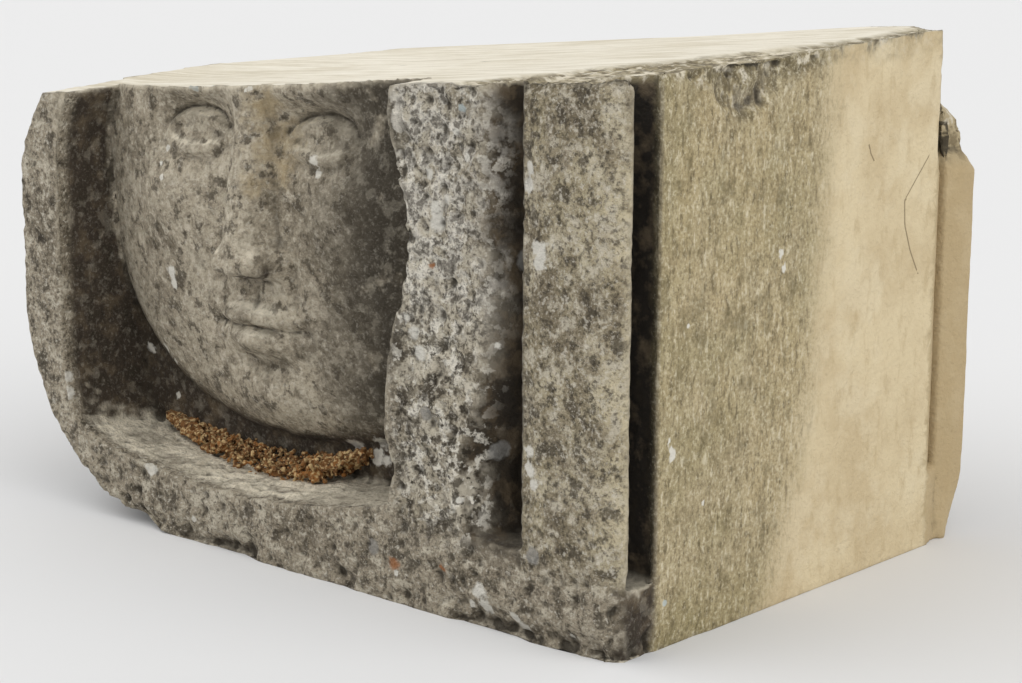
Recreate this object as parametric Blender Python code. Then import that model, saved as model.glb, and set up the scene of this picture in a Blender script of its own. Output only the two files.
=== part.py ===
"""A carved stone corbel: a squared block with a head in a sunk panel on its front.

The carved front looks along -Y, the underside lies on z = 0 and the origin is under the middle of
the block. Mouldings run down from the top and stop above a plain foot: on the front a fillet, the
panel, a broad fillet, a quirk and a corner roll, and on the right side a quirk behind the roll,
a plain face, a second quirk and a back roll. The sloping top bed cuts the head at the forehead.

The whole stone is one closed skin. Its stations go round the block, its levels go up it, and each
station blends from the plain outline of the foot to the moulded outline above. Sizes are in metres.
"""

import bmesh
import bpy
import numpy as np

NAME = "corbel_stone"

# Widths along the front, from the left end to the right corner
LEFT_FILLET = 0.034
PANEL_WIDTH = 0.263
RIGHT_FILLET = 0.0730
FRONT_QUIRK = 0.009
CORNER_ROLL = 0.0580

# Depths along the right side, from the front to the back
ROLL_RETURN = 0.009
SIDE_QUIRK = 0.022
SIDE_FACE = 0.231
BACK_QUIRK = 0.012
BACK_ROLL = 0.028

# Heights, and how steeply the top bed slopes
CORNER_HEIGHT = 0.2676
TOP_FALL_TO_LEFT = 0.082
TOP_RISE_TO_BACK = 0.032
SILL_HEIGHT = 0.034
SILL_RISE = 0.016
QUIRK_STOP = 0.043
SIDE_QUIRK_STOP = 0.034
BACK_QUIRK_STOP = 0.040
LEDGE_RISE = 0.002

# How deep each sinking is, and how its walls lean
PANEL_DEPTH = 0.056
PANEL_DRAFT = 0.004
FRONT_QUIRK_DEPTH = 0.030
SIDE_QUIRK_DEPTH = 0.026
BACK_QUIRK_DEPTH = 0.014
QUIRK_DRAFT = 0.001
FLANK_SPLAY = 0.020
FLANK_SPLAY_HEIGHT = 0.070
FLANK_SPLAY_SPREAD = 0.036

# Rounded edges
ARRIS_ROUND = 0.003
ROLL_ROUND = 0.013
ROLL_SHOULDER = 0.004
FILLET_SHOULDER = 0.022
BACK_ROLL_ROUND = 0.009

# The head, in the panel
HEAD_HEIGHT = 0.325
HEAD_ASIDE = 0.005
CHIN_ABOVE_SILL = 0.020
FACE_SETBACK = 0.024

# The share of the roll's and of the broad fillet's width that rounds down into the quirk
ROLL_SHOULDER_SHARE = 0.35
FILLET_SHOULDER_SHARE = 0.26

# What weather and breaking have taken away
LOST_FOOT_WIDTH = 0.125
LOST_FOOT_HEIGHT = 0.110
LOST_SHOULDER_WIDTH = 0.023
LOST_SHOULDER_HEIGHT = 0.042
LOST_BACK_WIDTH = 0.085
LOST_BACK_HEIGHT = 0.058
WORN_BACK_FOOT = 0.015
WORN_BACK_FOOT_HEIGHT = 0.040

# The free shape of the head, as shares of its height measured from the chin
BROAD_SHARE = 0.52
BROADEST_SHARE = 0.80
SIDE_POWER = 2.4
JAW_POWER = 3.4
# How much further back the face lies for each head height away from its middle line, squared
FACE_TURN = 0.050
# Each feature is a mound or a hollow: out, up, half width, half height, relief, crispness
FEATURES = {
    "brow": (0.140, 0.590, 0.105, 0.024, 0.022, 2.4),
    "frown": (0.0, 0.585, 0.050, 0.040, 0.012, 2.0),
    "socket": (0.145, 0.512, 0.088, 0.050, -0.046, 3.0),
    "eyeball": (0.148, 0.500, 0.066, 0.034, 0.036, 3.0),
    "wing": (0.050, 0.308, 0.024, 0.022, 0.026, 2.5),
    "nostril": (0.027, 0.284, 0.014, 0.009, -0.016, 2.0),
    "cheek": (0.215, 0.400, 0.085, 0.070, 0.020, 2.0),
    "muzzle": (0.0, 0.200, 0.110, 0.060, 0.012, 2.0),
    "upper lip": (0.030, 0.214, 0.052, 0.015, 0.020, 2.4),
    "lip line": (0.0, 0.197, 0.088, 0.007, -0.018, 2.2),
    "lower lip": (0.0, 0.173, 0.058, 0.019, 0.028, 2.4),
    "lip hollow": (0.0, 0.132, 0.066, 0.020, -0.016, 2.0),
    "chin": (0.0, 0.068, 0.085, 0.048, 0.030, 2.4),
}
# The nose is a wedge that widens and rises from the bridge down to its end
BRIDGE_UP, NOSE_UP = 0.550, 0.288
BRIDGE_HALF, NOSE_HALF = 0.036, 0.062
BRIDGE_RELIEF, NOSE_RELIEF = 0.016, 0.066
BRIDGE_TOP, BRIDGE_FADE, NOSE_CUT = 0.62, 0.09, 0.022

# How finely the skin is divided
SIDE_STATIONS = 8
WALL_STATIONS = 3
PANEL_STATIONS = 66
FILLET_STATIONS = 12
QUIRK_STATIONS = 2
ROLL_STATIONS = 7
ARC_STATIONS = 4
BACK_STATIONS = 10
FOOT_LEVELS = (0.0, 0.12, 0.30, 0.60, 1.0)
UPPER_LEVELS = 41

WIDTH = LEFT_FILLET + PANEL_WIDTH + RIGHT_FILLET + FRONT_QUIRK + CORNER_ROLL
DEPTH = ROLL_RETURN + SIDE_QUIRK + SIDE_FACE + BACK_QUIRK + BACK_ROLL
RIGHT = WIDTH / 2
LEFT = -RIGHT
BACK = DEPTH / 2
FRONT = -BACK
PANEL_LEFT = LEFT + LEFT_FILLET
PANEL_RIGHT = PANEL_LEFT + PANEL_WIDTH
QUIRK_LEFT = PANEL_RIGHT + RIGHT_FILLET
QUIRK_RIGHT = QUIRK_LEFT + FRONT_QUIRK
SIDE_QUIRK_FRONT = FRONT + ROLL_RETURN
SIDE_QUIRK_BACK = SIDE_QUIRK_FRONT + SIDE_QUIRK
BACK_QUIRK_FRONT = SIDE_QUIRK_BACK + SIDE_FACE
BACK_QUIRK_BACK = BACK_QUIRK_FRONT + BACK_QUIRK
HEAD_X = (PANEL_LEFT + PANEL_RIGHT) / 2 + HEAD_ASIDE
CHIN_Z = SILL_HEIGHT + CHIN_ABOVE_SILL


def top_height(x, y):
    """Height of the sloping top bed: a plane that falls to the left and rises to the back."""
    return CORNER_HEIGHT + TOP_FALL_TO_LEFT * (x - RIGHT) + TOP_RISE_TO_BACK * (y - FRONT)


def smooth(value):
    """An even step that starts and ends level, as value goes from 0 to 1."""
    t = np.clip(value, 0.0, 1.0)
    return t * t * (3.0 - 2.0 * t)


def nose_relief(across, up):
    """A wedge from the bridge to the end of the nose, cut off short underneath."""
    down = np.clip((BRIDGE_UP - up) / (BRIDGE_UP - NOSE_UP), 0.0, 1.0)
    half = BRIDGE_HALF + (NOSE_HALF - BRIDGE_HALF) * down
    ridge = np.clip(1.0 - (across / half) ** 2, 0.0, 1.0) ** 0.8
    over_end = smooth((up - NOSE_UP) / NOSE_CUT + 0.5)
    under_brow = smooth((BRIDGE_TOP - up) / BRIDGE_FADE)
    return (BRIDGE_RELIEF + (NOSE_RELIEF - BRIDGE_RELIEF) * down) * ridge * over_end * under_brow


def face_relief(x, z):
    """How far the head stands out of the panel floor, from none up to PANEL_DEPTH.

    The head is an egg cut by the panel: its fullness falls off with powers of the distance across
    and of the distance below its broadest height. Features and the nose are added to it.
    """
    across = np.abs(x - HEAD_X) / HEAD_HEIGHT
    up = (z - CHIN_Z) / HEAD_HEIGHT
    below = np.clip((BROADEST_SHARE - up) / BROADEST_SHARE, 0.0, None)
    reach = (across / BROAD_SHARE) ** SIDE_POWER + below ** JAW_POWER
    fullness = np.clip(1.0 - reach ** 1.3, 0.0, 1.0) ** 0.55
    relief = nose_relief(across, up) - FACE_TURN * across ** 2
    for out, height, half_width, half_height, rise, crisp in FEATURES.values():
        away = np.hypot((across - out) / half_width, (up - height) / half_height)
        relief = relief + rise * np.exp(-away ** crisp)
    lift = fullness * (PANEL_DEPTH - FACE_SETBACK) + np.sqrt(fullness) * relief * HEAD_HEIGHT
    return np.clip(lift, 0.0, PANEL_DEPTH - ARRIS_ROUND)


def line(start, end, count):
    """Points from start towards end, evenly spaced, without the end itself."""
    t = np.linspace(0.0, 1.0, count, endpoint=False)[:, None]
    return np.array(start) + t * (np.array(end) - np.array(start))


def path(corners, counts):
    """The straight runs between corners, each with its own count of points."""
    runs = [line(a, b, n) for a, b, n in zip(corners[:-1], corners[1:], counts)]
    return np.concatenate(runs)


def arc(centre, radius, first, last, count):
    """Points on a circle from the first to the last angle in degrees, without the last one."""
    angle = np.radians(np.linspace(first, last, count, endpoint=False))[:, None]
    return np.array(centre) + radius * np.concatenate([np.cos(angle), np.sin(angle)], axis=1)


def stations():
    """Plain and moulded plan outlines, station by station, with the stop height at each.

    The outline starts at the back left corner and goes anticlockwise: down the left side, along
    the front, up the right side and back along the rear. Each run is given first as it lies in the
    plain foot, then as it lies in the moulded part, with as many points.
    """
    plain, moulded, stops, kinds = [], [], [], []

    def run(kind, foot, above, first_stop, last_stop):
        plain.append(foot)
        moulded.append(above)
        stops.append(np.linspace(first_stop, last_stop, len(foot), endpoint=False))
        kinds.extend([kind] * len(foot))

    def straight(kind, start, end, count, first_stop, last_stop):
        run(kind, line(start, end, count), line(start, end, count), first_stop, last_stop)

    def sinking(kind, start, end, deep, counts, first_stop, last_stop):
        foot = line(start, end, sum(counts))
        run(kind, foot, path([start, deep[0], deep[1], end], counts), first_stop, last_stop)

    sill_end = SILL_HEIGHT + SILL_RISE
    wall = (QUIRK_STATIONS, QUIRK_STATIONS, QUIRK_STATIONS)
    straight("left", (LEFT, BACK), (LEFT, FRONT + ARRIS_ROUND), SIDE_STATIONS, sill_end, sill_end)
    straight("fillet", (LEFT, FRONT + ARRIS_ROUND), (LEFT + ARRIS_ROUND, FRONT), 1, sill_end, sill_end)
    straight("fillet", (LEFT + ARRIS_ROUND, FRONT), (PANEL_LEFT, FRONT), WALL_STATIONS, sill_end, sill_end)

    floor_left = PANEL_LEFT + PANEL_DRAFT
    floor_right = PANEL_RIGHT - PANEL_DRAFT
    floor_y = FRONT + PANEL_DEPTH
    counts = (WALL_STATIONS, PANEL_STATIONS, WALL_STATIONS)
    deep = ((floor_left, floor_y), (floor_right, floor_y))
    sinking("panel", (PANEL_LEFT, FRONT), (PANEL_RIGHT, FRONT), deep, counts, sill_end, sill_end)

    straight("broad", (PANEL_RIGHT, FRONT), (QUIRK_LEFT, FRONT), FILLET_STATIONS, sill_end, QUIRK_STOP)
    deep_y = FRONT + FRONT_QUIRK_DEPTH
    deep = ((QUIRK_LEFT + QUIRK_DRAFT, deep_y), (QUIRK_RIGHT - QUIRK_DRAFT, deep_y))
    sinking("quirk", (QUIRK_LEFT, FRONT), (QUIRK_RIGHT, FRONT), deep, wall, QUIRK_STOP, QUIRK_STOP)

    return_end = (RIGHT, SIDE_QUIRK_FRONT)
    roll_start = (RIGHT - ROLL_ROUND, FRONT)
    turn = arc((RIGHT - ROLL_ROUND, FRONT + ROLL_ROUND), ROLL_ROUND, -90.0, -30.0, ARC_STATIONS)
    straight("roll", (QUIRK_RIGHT, FRONT), roll_start, ROLL_STATIONS, QUIRK_STOP, QUIRK_STOP)
    run("roll", turn, turn, QUIRK_STOP, SIDE_QUIRK_STOP)
    deep_x = RIGHT - SIDE_QUIRK_DEPTH
    deep = ((deep_x, SIDE_QUIRK_FRONT + QUIRK_DRAFT), (deep_x, SIDE_QUIRK_BACK - QUIRK_DRAFT))
    sinking("quirk", return_end, (RIGHT, SIDE_QUIRK_BACK), deep, wall, SIDE_QUIRK_STOP, SIDE_QUIRK_STOP)
    straight("side", (RIGHT, SIDE_QUIRK_BACK), (RIGHT, BACK_QUIRK_FRONT), SIDE_STATIONS,
             SIDE_QUIRK_STOP, BACK_QUIRK_STOP)

    deep_x = RIGHT - BACK_QUIRK_DEPTH
    deep = ((deep_x, BACK_QUIRK_FRONT + QUIRK_DRAFT), (deep_x, BACK_QUIRK_BACK))
    roll_front = (RIGHT - BACK_ROLL_ROUND / 2, BACK_QUIRK_BACK + QUIRK_DRAFT)
    roll_top = (RIGHT, BACK - BACK_ROLL_ROUND)
    sinking("rear", (RIGHT, BACK_QUIRK_FRONT), roll_front, deep, wall, BACK_QUIRK_STOP, BACK_QUIRK_STOP)
    straight("rear", roll_front, roll_top, QUIRK_STATIONS, BACK_QUIRK_STOP, BACK_QUIRK_STOP)
    turn = arc((RIGHT - BACK_ROLL_ROUND, BACK - BACK_ROLL_ROUND), BACK_ROLL_ROUND, 0.0, 90.0, ARC_STATIONS)
    run("rear", turn, turn, BACK_QUIRK_STOP, BACK_QUIRK_STOP)
    lost_end = (RIGHT - LOST_BACK_WIDTH, BACK)
    straight("rear", (RIGHT - BACK_ROLL_ROUND, BACK), lost_end, ARC_STATIONS, BACK_QUIRK_STOP, sill_end)
    straight("back", lost_end, (LEFT, BACK), BACK_STATIONS, sill_end, sill_end)
    return np.concatenate(plain), np.concatenate(moulded), np.concatenate(stops), np.array(kinds)


def levels():
    """For each level: its share of the foot, of the ledge over it, and of the moulded part."""
    foot = [(share, 0.0, 0.0) for share in FOOT_LEVELS]
    upper = [(1.0, 1.0, share) for share in np.linspace(0.0, 1.0, UPPER_LEVELS)]
    return np.array(foot + upper)


def carve_panel(x, y, z, kinds, ledge):
    """Move the stations of the panel out of its floor to the face of the head."""
    carved = np.minimum(y, FRONT + PANEL_DEPTH - face_relief(x, z))
    return np.where((kinds == "panel") & (ledge > 0.0), carved, y)


def lose_left_end(x, y, z):
    """Draw in the left end at the foot and the shoulder, squeezing what is beside it."""
    low = np.clip(1.0 - np.sqrt(np.clip(z, 0.0, None) / LOST_FOOT_HEIGHT), 0.0, 1.0) ** 1.5
    high = np.clip(1.0 - (top_height(LEFT, FRONT) - z) / LOST_SHOULDER_HEIGHT, 0.0, 1.0) ** 1.5
    deep = 1.0 - 0.5 * smooth((y - FRONT) / DEPTH)
    inset = (LOST_FOOT_WIDTH * low + LOST_SHOULDER_WIDTH * high) * deep
    reach = LEFT_FILLET + inset * 1.3
    return x + inset * np.clip(1.0 - (x - LEFT) / reach, 0.0, 1.0)


def splay_flank(x, z):
    """Lean the broad fillet's edge away from the quirk just above the quirk's stop."""
    near = np.exp(-((z - FLANK_SPLAY_HEIGHT) / FLANK_SPLAY_SPREAD) ** 2)
    share = np.clip((x - PANEL_RIGHT) / RIGHT_FILLET, 0.0, 1.0)
    share = np.where(x > QUIRK_LEFT, np.clip(1.0 - (x - QUIRK_LEFT) / FRONT_QUIRK, 0.0, 1.0), share)
    return x - FLANK_SPLAY * near * share


def round_shoulders(x, y, kinds):
    """Round the broad fillet and the roll down into the quirk between them.

    The fillet falls as a square curve to the quirk's edge, and the quirk's near wall starts there.
    The roll's own shoulder is shallower.
    """
    before = np.clip((x - PANEL_RIGHT) / RIGHT_FILLET, 0.0, 1.0)
    fillet = FILLET_SHOULDER * np.clip((before - 1.0) / FILLET_SHOULDER_SHARE + 1.0, 0.0, 1.0) ** 2
    after = np.clip((x - QUIRK_RIGHT) / CORNER_ROLL, 0.0, 1.0)
    roll = ROLL_SHOULDER * np.clip(1.0 - after / ROLL_SHOULDER_SHARE, 0.0, 1.0) ** 2
    near_wall = (kinds == "quirk") & (x < QUIRK_LEFT + FRONT_QUIRK / 2)
    y = np.where((kinds == "broad") | near_wall, np.maximum(y, FRONT + fillet), y)
    return np.where(kinds == "roll", y + roll, y)


def lose_back_corner(x, y, z, kinds):
    """Break the back roll away near the top, along a slant from the side face to the back."""
    rear = np.flatnonzero(kinds == "rear")
    share = np.zeros(len(kinds))
    share[rear] = np.linspace(0.0, 1.0, len(rear))
    slant_x = RIGHT - LOST_BACK_WIDTH * share ** 1.4
    slant_y = BACK_QUIRK_FRONT + (BACK - BACK_QUIRK_FRONT) * share
    broken = smooth(1.0 + (z - top_height(RIGHT, BACK)) / LOST_BACK_HEIGHT) * (kinds == "rear")
    foot = smooth(1.0 - z / WORN_BACK_FOOT_HEIGHT) * smooth(1.0 - (BACK - y) / BACK_ROLL)
    worn_y = y - WORN_BACK_FOOT * foot * smooth(1.0 - (RIGHT - x) / LOST_BACK_WIDTH)
    return x + broken * (slant_x - x), worn_y + broken * (slant_y - worn_y)


def skin():
    """The points of the skin as three arrays of levels by stations."""
    plain, moulded, stops, kinds = stations()
    foot, ledge, upper = levels().T[:, :, None]
    x = plain[:, 0] + ledge * (moulded[:, 0] - plain[:, 0])
    y = plain[:, 1] + ledge * (moulded[:, 1] - plain[:, 1])
    middle = (plain[:, 0] - (PANEL_LEFT + PANEL_RIGHT) / 2) / (PANEL_WIDTH / 2)
    sag = np.where(kinds == "panel", SILL_RISE * (1.0 - middle ** 2), 0.0)
    start = stops - sag
    top = top_height(plain[:, 0], plain[:, 1])
    above = start + LEDGE_RISE * ledge
    z = foot * above + upper * (top - above)
    y = carve_panel(x, y, z, kinds, ledge)
    y = y + ledge * (round_shoulders(x, y, kinds) - y)
    x = x + ledge * (splay_flank(x, z) - x)
    x, y = lose_back_corner(x, y, z, kinds)
    x = lose_left_end(x, y, z)
    z = z * top_height(x, y) / top
    return x, y, z


def build_stone(collection):
    """Close the skin with a flat underside and a flat top bed."""
    x, y, z = skin()
    rows, columns = x.shape
    bm = bmesh.new()
    points = np.stack([x, y, z], axis=-1).reshape(-1, 3)
    verts = [bm.verts.new(point) for point in points]
    for j in range(rows - 1):
        for i in range(columns):
            k = (i + 1) % columns
            bm.faces.new([verts[n] for n in (j * columns + i, j * columns + k,
                                             (j + 1) * columns + k, (j + 1) * columns + i)])
    bm.faces.new(verts[:columns][::-1])
    bm.faces.new(verts[-columns:])
    bm.normal_update()
    bmesh.ops.triangulate(bm, faces=bm.faces, quad_method="SHORT_EDGE", ngon_method="BEAUTY")
    mesh = bpy.data.meshes.new(NAME)
    bm.to_mesh(mesh)
    bm.free()
    stone = bpy.data.objects.new(NAME, mesh)
    collection.objects.link(stone)
    return stone


def limestone():
    """Weathered grey-brown limestone, matt all over."""
    material = bpy.data.materials.new("weathered_limestone")
    material.use_nodes = True
    shader = material.node_tree.nodes["Principled BSDF"]
    shader.inputs["Base Color"].default_value = (0.24, 0.20, 0.15, 1.0)
    shader.inputs["Roughness"].default_value = 0.92
    shader.inputs["Metallic"].default_value = 0.0
    return material


def main():
    for old in list(bpy.data.objects):
        bpy.data.objects.remove(old)
    collection = bpy.data.collections.new("stone_corbel")
    bpy.context.scene.collection.children.link(collection)
    stone = build_stone(collection)
    stone.data.materials.append(limestone())


main()
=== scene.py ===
# %% [markdown]
# A salvaged stone corbel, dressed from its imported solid.
# The real thing is one block of soft limestone: a head in a sunk panel, a corner roll between two
# deep quirks, and a plain foot. A century of rain, lichen and moss has roughened the front, while
# the side that was inside the wall has stayed the colour of fresh sand.
# The lesson makes one skin with numpy, lets weather into it, and then colours it zone by zone.

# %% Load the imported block
import bmesh
import bpy
import numpy as np
from itertools import product
from math import radians
from mathutils import Matrix, Vector


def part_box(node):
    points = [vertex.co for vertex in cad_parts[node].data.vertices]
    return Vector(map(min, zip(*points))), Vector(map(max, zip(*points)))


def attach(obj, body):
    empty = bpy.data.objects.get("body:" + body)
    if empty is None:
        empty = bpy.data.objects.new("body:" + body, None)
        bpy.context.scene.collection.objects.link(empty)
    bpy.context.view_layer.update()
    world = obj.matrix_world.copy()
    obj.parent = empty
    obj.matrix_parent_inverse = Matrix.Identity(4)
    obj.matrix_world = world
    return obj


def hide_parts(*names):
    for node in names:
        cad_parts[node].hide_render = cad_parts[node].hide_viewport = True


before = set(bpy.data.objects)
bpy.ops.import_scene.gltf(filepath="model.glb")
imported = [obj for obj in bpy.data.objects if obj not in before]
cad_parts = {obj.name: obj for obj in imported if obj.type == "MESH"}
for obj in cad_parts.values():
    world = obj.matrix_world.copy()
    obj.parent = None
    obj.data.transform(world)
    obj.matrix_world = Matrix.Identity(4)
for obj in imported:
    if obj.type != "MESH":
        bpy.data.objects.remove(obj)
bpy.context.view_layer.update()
block_low, block_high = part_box("corbel_stone")
MM = 0.001
LEFT, FRONT, BASE = block_low
RIGHT, BACK, TOP = block_high
print("block in mm:", [round((b - a) / MM, 1) for a, b in zip(block_low, block_high)])

# %% [markdown]
# The camera comes first. A photographer stood to the right of the near corner with a short tele
# lens, a little above the stone. A place, a heading and a tilt say the same as a matrix would, and
# they can be read and changed.

# %% Set the camera
CAMERA_PLACE = (0.839, -0.9115, 0.3543)
CAMERA_HEADING = 41.966
CAMERA_TILT = 11.663
CAMERA_ROLL = 0.168
LENS_MM = 80.0

camera_data = bpy.data.cameras.new("camera")
camera_data.lens = LENS_MM
camera_data.sensor_width = 36.0
camera = bpy.data.objects.new("camera", camera_data)
turn = Matrix.Rotation(radians(CAMERA_HEADING), 4, "Z")
tilt = Matrix.Rotation(radians(90.0 - CAMERA_TILT), 4, "X")
roll = Matrix.Rotation(radians(CAMERA_ROLL), 4, "Z")
camera.matrix_world = Matrix.Translation(CAMERA_PLACE) @ turn @ tilt @ roll
bpy.context.scene.collection.objects.link(camera)
bpy.context.scene.camera = camera

# %% [markdown]
# Stone has no repeat, so its roughness is worked out and not painted. Value noise gives soft hills:
# a number hashed for each corner of a lattice, blended inside the cell. Cell noise gives pits: the
# distance to the nearest of many scattered seeds. Both take all points at once.

# %% Noise worked out with whole arrays
def hashed(ix, iy, iz, seed):
    """A number from 0 to 1 for each lattice corner: its coordinates multiplied, mixed and folded."""
    h = ix * 374761393 + iy * 668265263 + iz * 1274126177 + seed * 974634777
    h = (h ^ (h >> 13)) & 0xFFFFFFFF
    h = (h * 1103515245 + 12345) & 0xFFFFFFFF
    return ((h ^ (h >> 16)) & 0xFFFF) / 65535.0


def hills(points, size, seed=0):
    """Value noise from -1 to 1: eight hashed corners, blended by an eased share of the cell."""
    scaled = points / size
    cell = np.floor(scaled).astype(np.int64)
    share = scaled - cell
    share = share * share * (3.0 - 2.0 * share)
    total = np.zeros(len(points))
    for dx, dy, dz in product((0, 1), repeat=3):
        weight = np.abs(1 - dx - share[:, 0]) * np.abs(1 - dy - share[:, 1])
        weight = weight * np.abs(1 - dz - share[:, 2])
        total += weight * hashed(*(cell + (dx, dy, dz)).T, seed)
    return total * 2.0 - 1.0


def layered(points, size, layers, seed=0):
    """Hills on hills: each layer half the size and a little over half the height of the last."""
    total, height, whole = np.zeros(len(points)), 1.0, 0.0
    for layer in range(layers):
        total += height * hills(points, size * 0.5 ** layer, seed + layer)
        whole += height
        height *= 0.55
    return total / whole


def pits(points, size, width, seed=0):
    """Cell noise turned to pits from 0 to 1: deep at each scattered seed, none past width cells."""
    scaled = points / size
    cell = np.floor(scaled).astype(np.int64)
    depth = np.zeros(len(points))
    for step in product((-1, 0, 1), repeat=3):
        corner = cell + step
        axes = [hashed(*corner.T, seed + n) for n in (1, 2, 3)]
        away = np.linalg.norm(corner + np.stack(axes, axis=1) - scaled, axis=1)
        power = hashed(*corner.T, seed + 4)
        depth = np.maximum(depth, power * np.clip(1.0 - (away / width) ** 2, 0.0, 1.0))
    return depth


def ease(value, low, high):
    """An even step from 0 to 1 as value goes from low to high."""
    t = np.clip((value - low) / (high - low), 0.0, 1.0)
    return t * t * (3.0 - 2.0 * t)


def fall(value, low, high):
    """An even step from 1 to 0 as value goes from low to high."""
    return 1.0 - ease(value, low, high)


# %% [markdown]
# The block itself. A mason squares it, sinks the panel and the quirks from above and leaves the foot
# plain. So its skin is made the same way: one outline for the foot and one for the moulded part,
# with as many stations in each, and every level of the skin is a blend of the two. Booleans would
# cut the same shape, but they leave no even grid for weather to work on.

# %% Driving sizes of the mouldings
LEFT_FILLET, PANEL_WIDTH, RIGHT_FILLET, FRONT_QUIRK = 0.034, 0.263, 0.0730, 0.009
ROLL_RETURN, SIDE_QUIRK, BACK_QUIRK, BACK_ROLL = 0.009, 0.022, 0.012, 0.028
TOP_FALL, TOP_RISE = 0.082, 0.032
SILL_HEIGHT, SILL_RISE, LEDGE_RISE = 0.034, 0.016, 0.002
QUIRK_STOP, SIDE_QUIRK_STOP, BACK_QUIRK_STOP = 0.043, 0.034, 0.040
PANEL_DEPTH, FRONT_QUIRK_DEPTH, SIDE_QUIRK_DEPTH, BACK_QUIRK_DEPTH = 0.056, 0.030, 0.026, 0.014
ROLL_ROUND, BACK_ROLL_ROUND = 0.013, 0.009
FILLET_SHOULDER, FILLET_SHOULDER_SHARE, ROLL_SHOULDER, ROLL_SHOULDER_SHARE = 0.022, 0.26, 0.004, 0.35
LOST_BACK_WIDTH, LOST_BACK_HEIGHT = 0.085, 0.058

PANEL_LEFT = LEFT + LEFT_FILLET
PANEL_RIGHT = PANEL_LEFT + PANEL_WIDTH
QUIRK_LEFT = PANEL_RIGHT + RIGHT_FILLET
QUIRK_RIGHT = QUIRK_LEFT + FRONT_QUIRK
SIDE_QUIRK_FRONT = FRONT + ROLL_RETURN
SIDE_QUIRK_BACK = SIDE_QUIRK_FRONT + SIDE_QUIRK
BACK_QUIRK_BACK = BACK - BACK_ROLL
BACK_QUIRK_FRONT = BACK_QUIRK_BACK - BACK_QUIRK

# Low swells of the sawn bed: mm from the near corner, right and back, half widths and rise in mm
SWELLS = [(-430, 118, 70, 88, 5.0), (-62, 262, 70, 46, 2.6)]


def bed_height(x, y):
    """Height of the top bed: a plane that falls left and rises back, with two low swells on it."""
    height = TOP + TOP_FALL * (x - RIGHT) + TOP_RISE * (y - BACK_QUIRK_FRONT)
    for right, back, half_x, half_y, rise in SWELLS:
        across, along = (x - RIGHT) / MM - right, (y - FRONT) / MM - back
        height = height + rise * MM * np.exp(-across ** 2 / half_x ** 2 - along ** 2 / half_y ** 2)
    return height


print("bed over the near corner, mm:", round(bed_height(RIGHT, FRONT) / MM, 1))

# %% [markdown]
# The head is free carving, so it is written as shares of its own height, the way drawing books do:
# eyes half way down, the nose ending a third above the chin, the mouth a third of the way below the
# nose. The face is a calm, general one. An egg-shaped fullness carries bell-shaped mounds.

# %% The head as a relief
HEAD_HEIGHT, HEAD_ASIDE, CHIN_ABOVE_SILL, FACE_SETBACK = 0.325, 0.005, 0.020, 0.024
HEAD_X = (PANEL_LEFT + PANEL_RIGHT) / 2 + HEAD_ASIDE
CHIN_Z = SILL_HEIGHT + CHIN_ABOVE_SILL
# Half breadth, height of the broadest place, powers of the sides and the jaw, and how far it turns
BROAD_SHARE, BROADEST_SHARE, SIDE_POWER, JAW_POWER, FACE_TURN = 0.52, 0.80, 2.4, 3.4, 0.050
# Each feature: how far out, how far up, half width, half height, relief, crispness
FEATURES = {
    "brow": (0.140, 0.590, 0.105, 0.024, 0.022, 2.4),
    "frown": (0.0, 0.585, 0.050, 0.040, 0.012, 2.0),
    "socket": (0.145, 0.512, 0.088, 0.050, -0.046, 3.0),
    "eyeball": (0.148, 0.500, 0.066, 0.034, 0.036, 3.0),
    "wing": (0.050, 0.308, 0.024, 0.022, 0.026, 2.5),
    "nostril": (0.027, 0.284, 0.014, 0.009, -0.016, 2.0),
    "nose fold": (0.088, 0.290, 0.016, 0.050, -0.008, 2.0),
    "cheek": (0.215, 0.400, 0.085, 0.070, 0.020, 2.0),
    "muzzle": (0.0, 0.200, 0.110, 0.060, 0.012, 2.0),
    "groove over the lip": (0.0, 0.246, 0.012, 0.026, -0.008, 2.0),
    "upper lip": (0.030, 0.214, 0.052, 0.015, 0.020, 2.4),
    "lip line": (0.0, 0.197, 0.088, 0.007, -0.018, 2.2),
    "lip corner": (0.098, 0.198, 0.018, 0.014, -0.012, 2.0),
    "lower lip": (0.0, 0.173, 0.058, 0.019, 0.028, 2.4),
    "lip hollow": (0.0, 0.132, 0.066, 0.020, -0.016, 2.0),
    "chin": (0.0, 0.068, 0.085, 0.048, 0.030, 2.4),
}
# The nose is a wedge: from up, half width and relief at the bridge to the same at its end
BRIDGE, NOSE_END = (0.550, 0.036, 0.016), (0.288, 0.062, 0.066)
BRIDGE_TOP, BRIDGE_FADE, NOSE_CUT_BELOW, NOSE_CUT_ABOVE = 0.62, 0.09, 0.014, 0.008
# The lids edge an almond: its middle, half width, and how far each lid arches from the middle
EYE_OUT, EYE_UP, EYE_HALF, UPPER_ARCH, LOWER_ARCH = 0.148, 0.500, 0.072, 0.030, 0.022
# Relief and half width of the two lids and of the crease, and how far the crease lies above
UPPER_LID, LOWER_LID, CREASE, CREASE_ABOVE = (0.014, 0.0075), (0.010, 0.0065), (0.010, 0.006), 0.018


def nose_relief(across, up):
    """Half width and relief grow evenly down the nose, which is cut off short underneath."""
    down = np.clip((BRIDGE[0] - up) / (BRIDGE[0] - NOSE_END[0]), 0, 1)
    half = BRIDGE[1] + (NOSE_END[1] - BRIDGE[1]) * down
    relief = BRIDGE[2] + (NOSE_END[2] - BRIDGE[2]) * down
    cut = ease(up, NOSE_END[0] - NOSE_CUT_BELOW, NOSE_END[0] + NOSE_CUT_ABOVE)
    ends = cut * fall(up, BRIDGE_TOP - BRIDGE_FADE, BRIDGE_TOP)
    return relief * ends * np.clip(1 - (across / half) ** 2, 0, 1) ** 0.8


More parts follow.
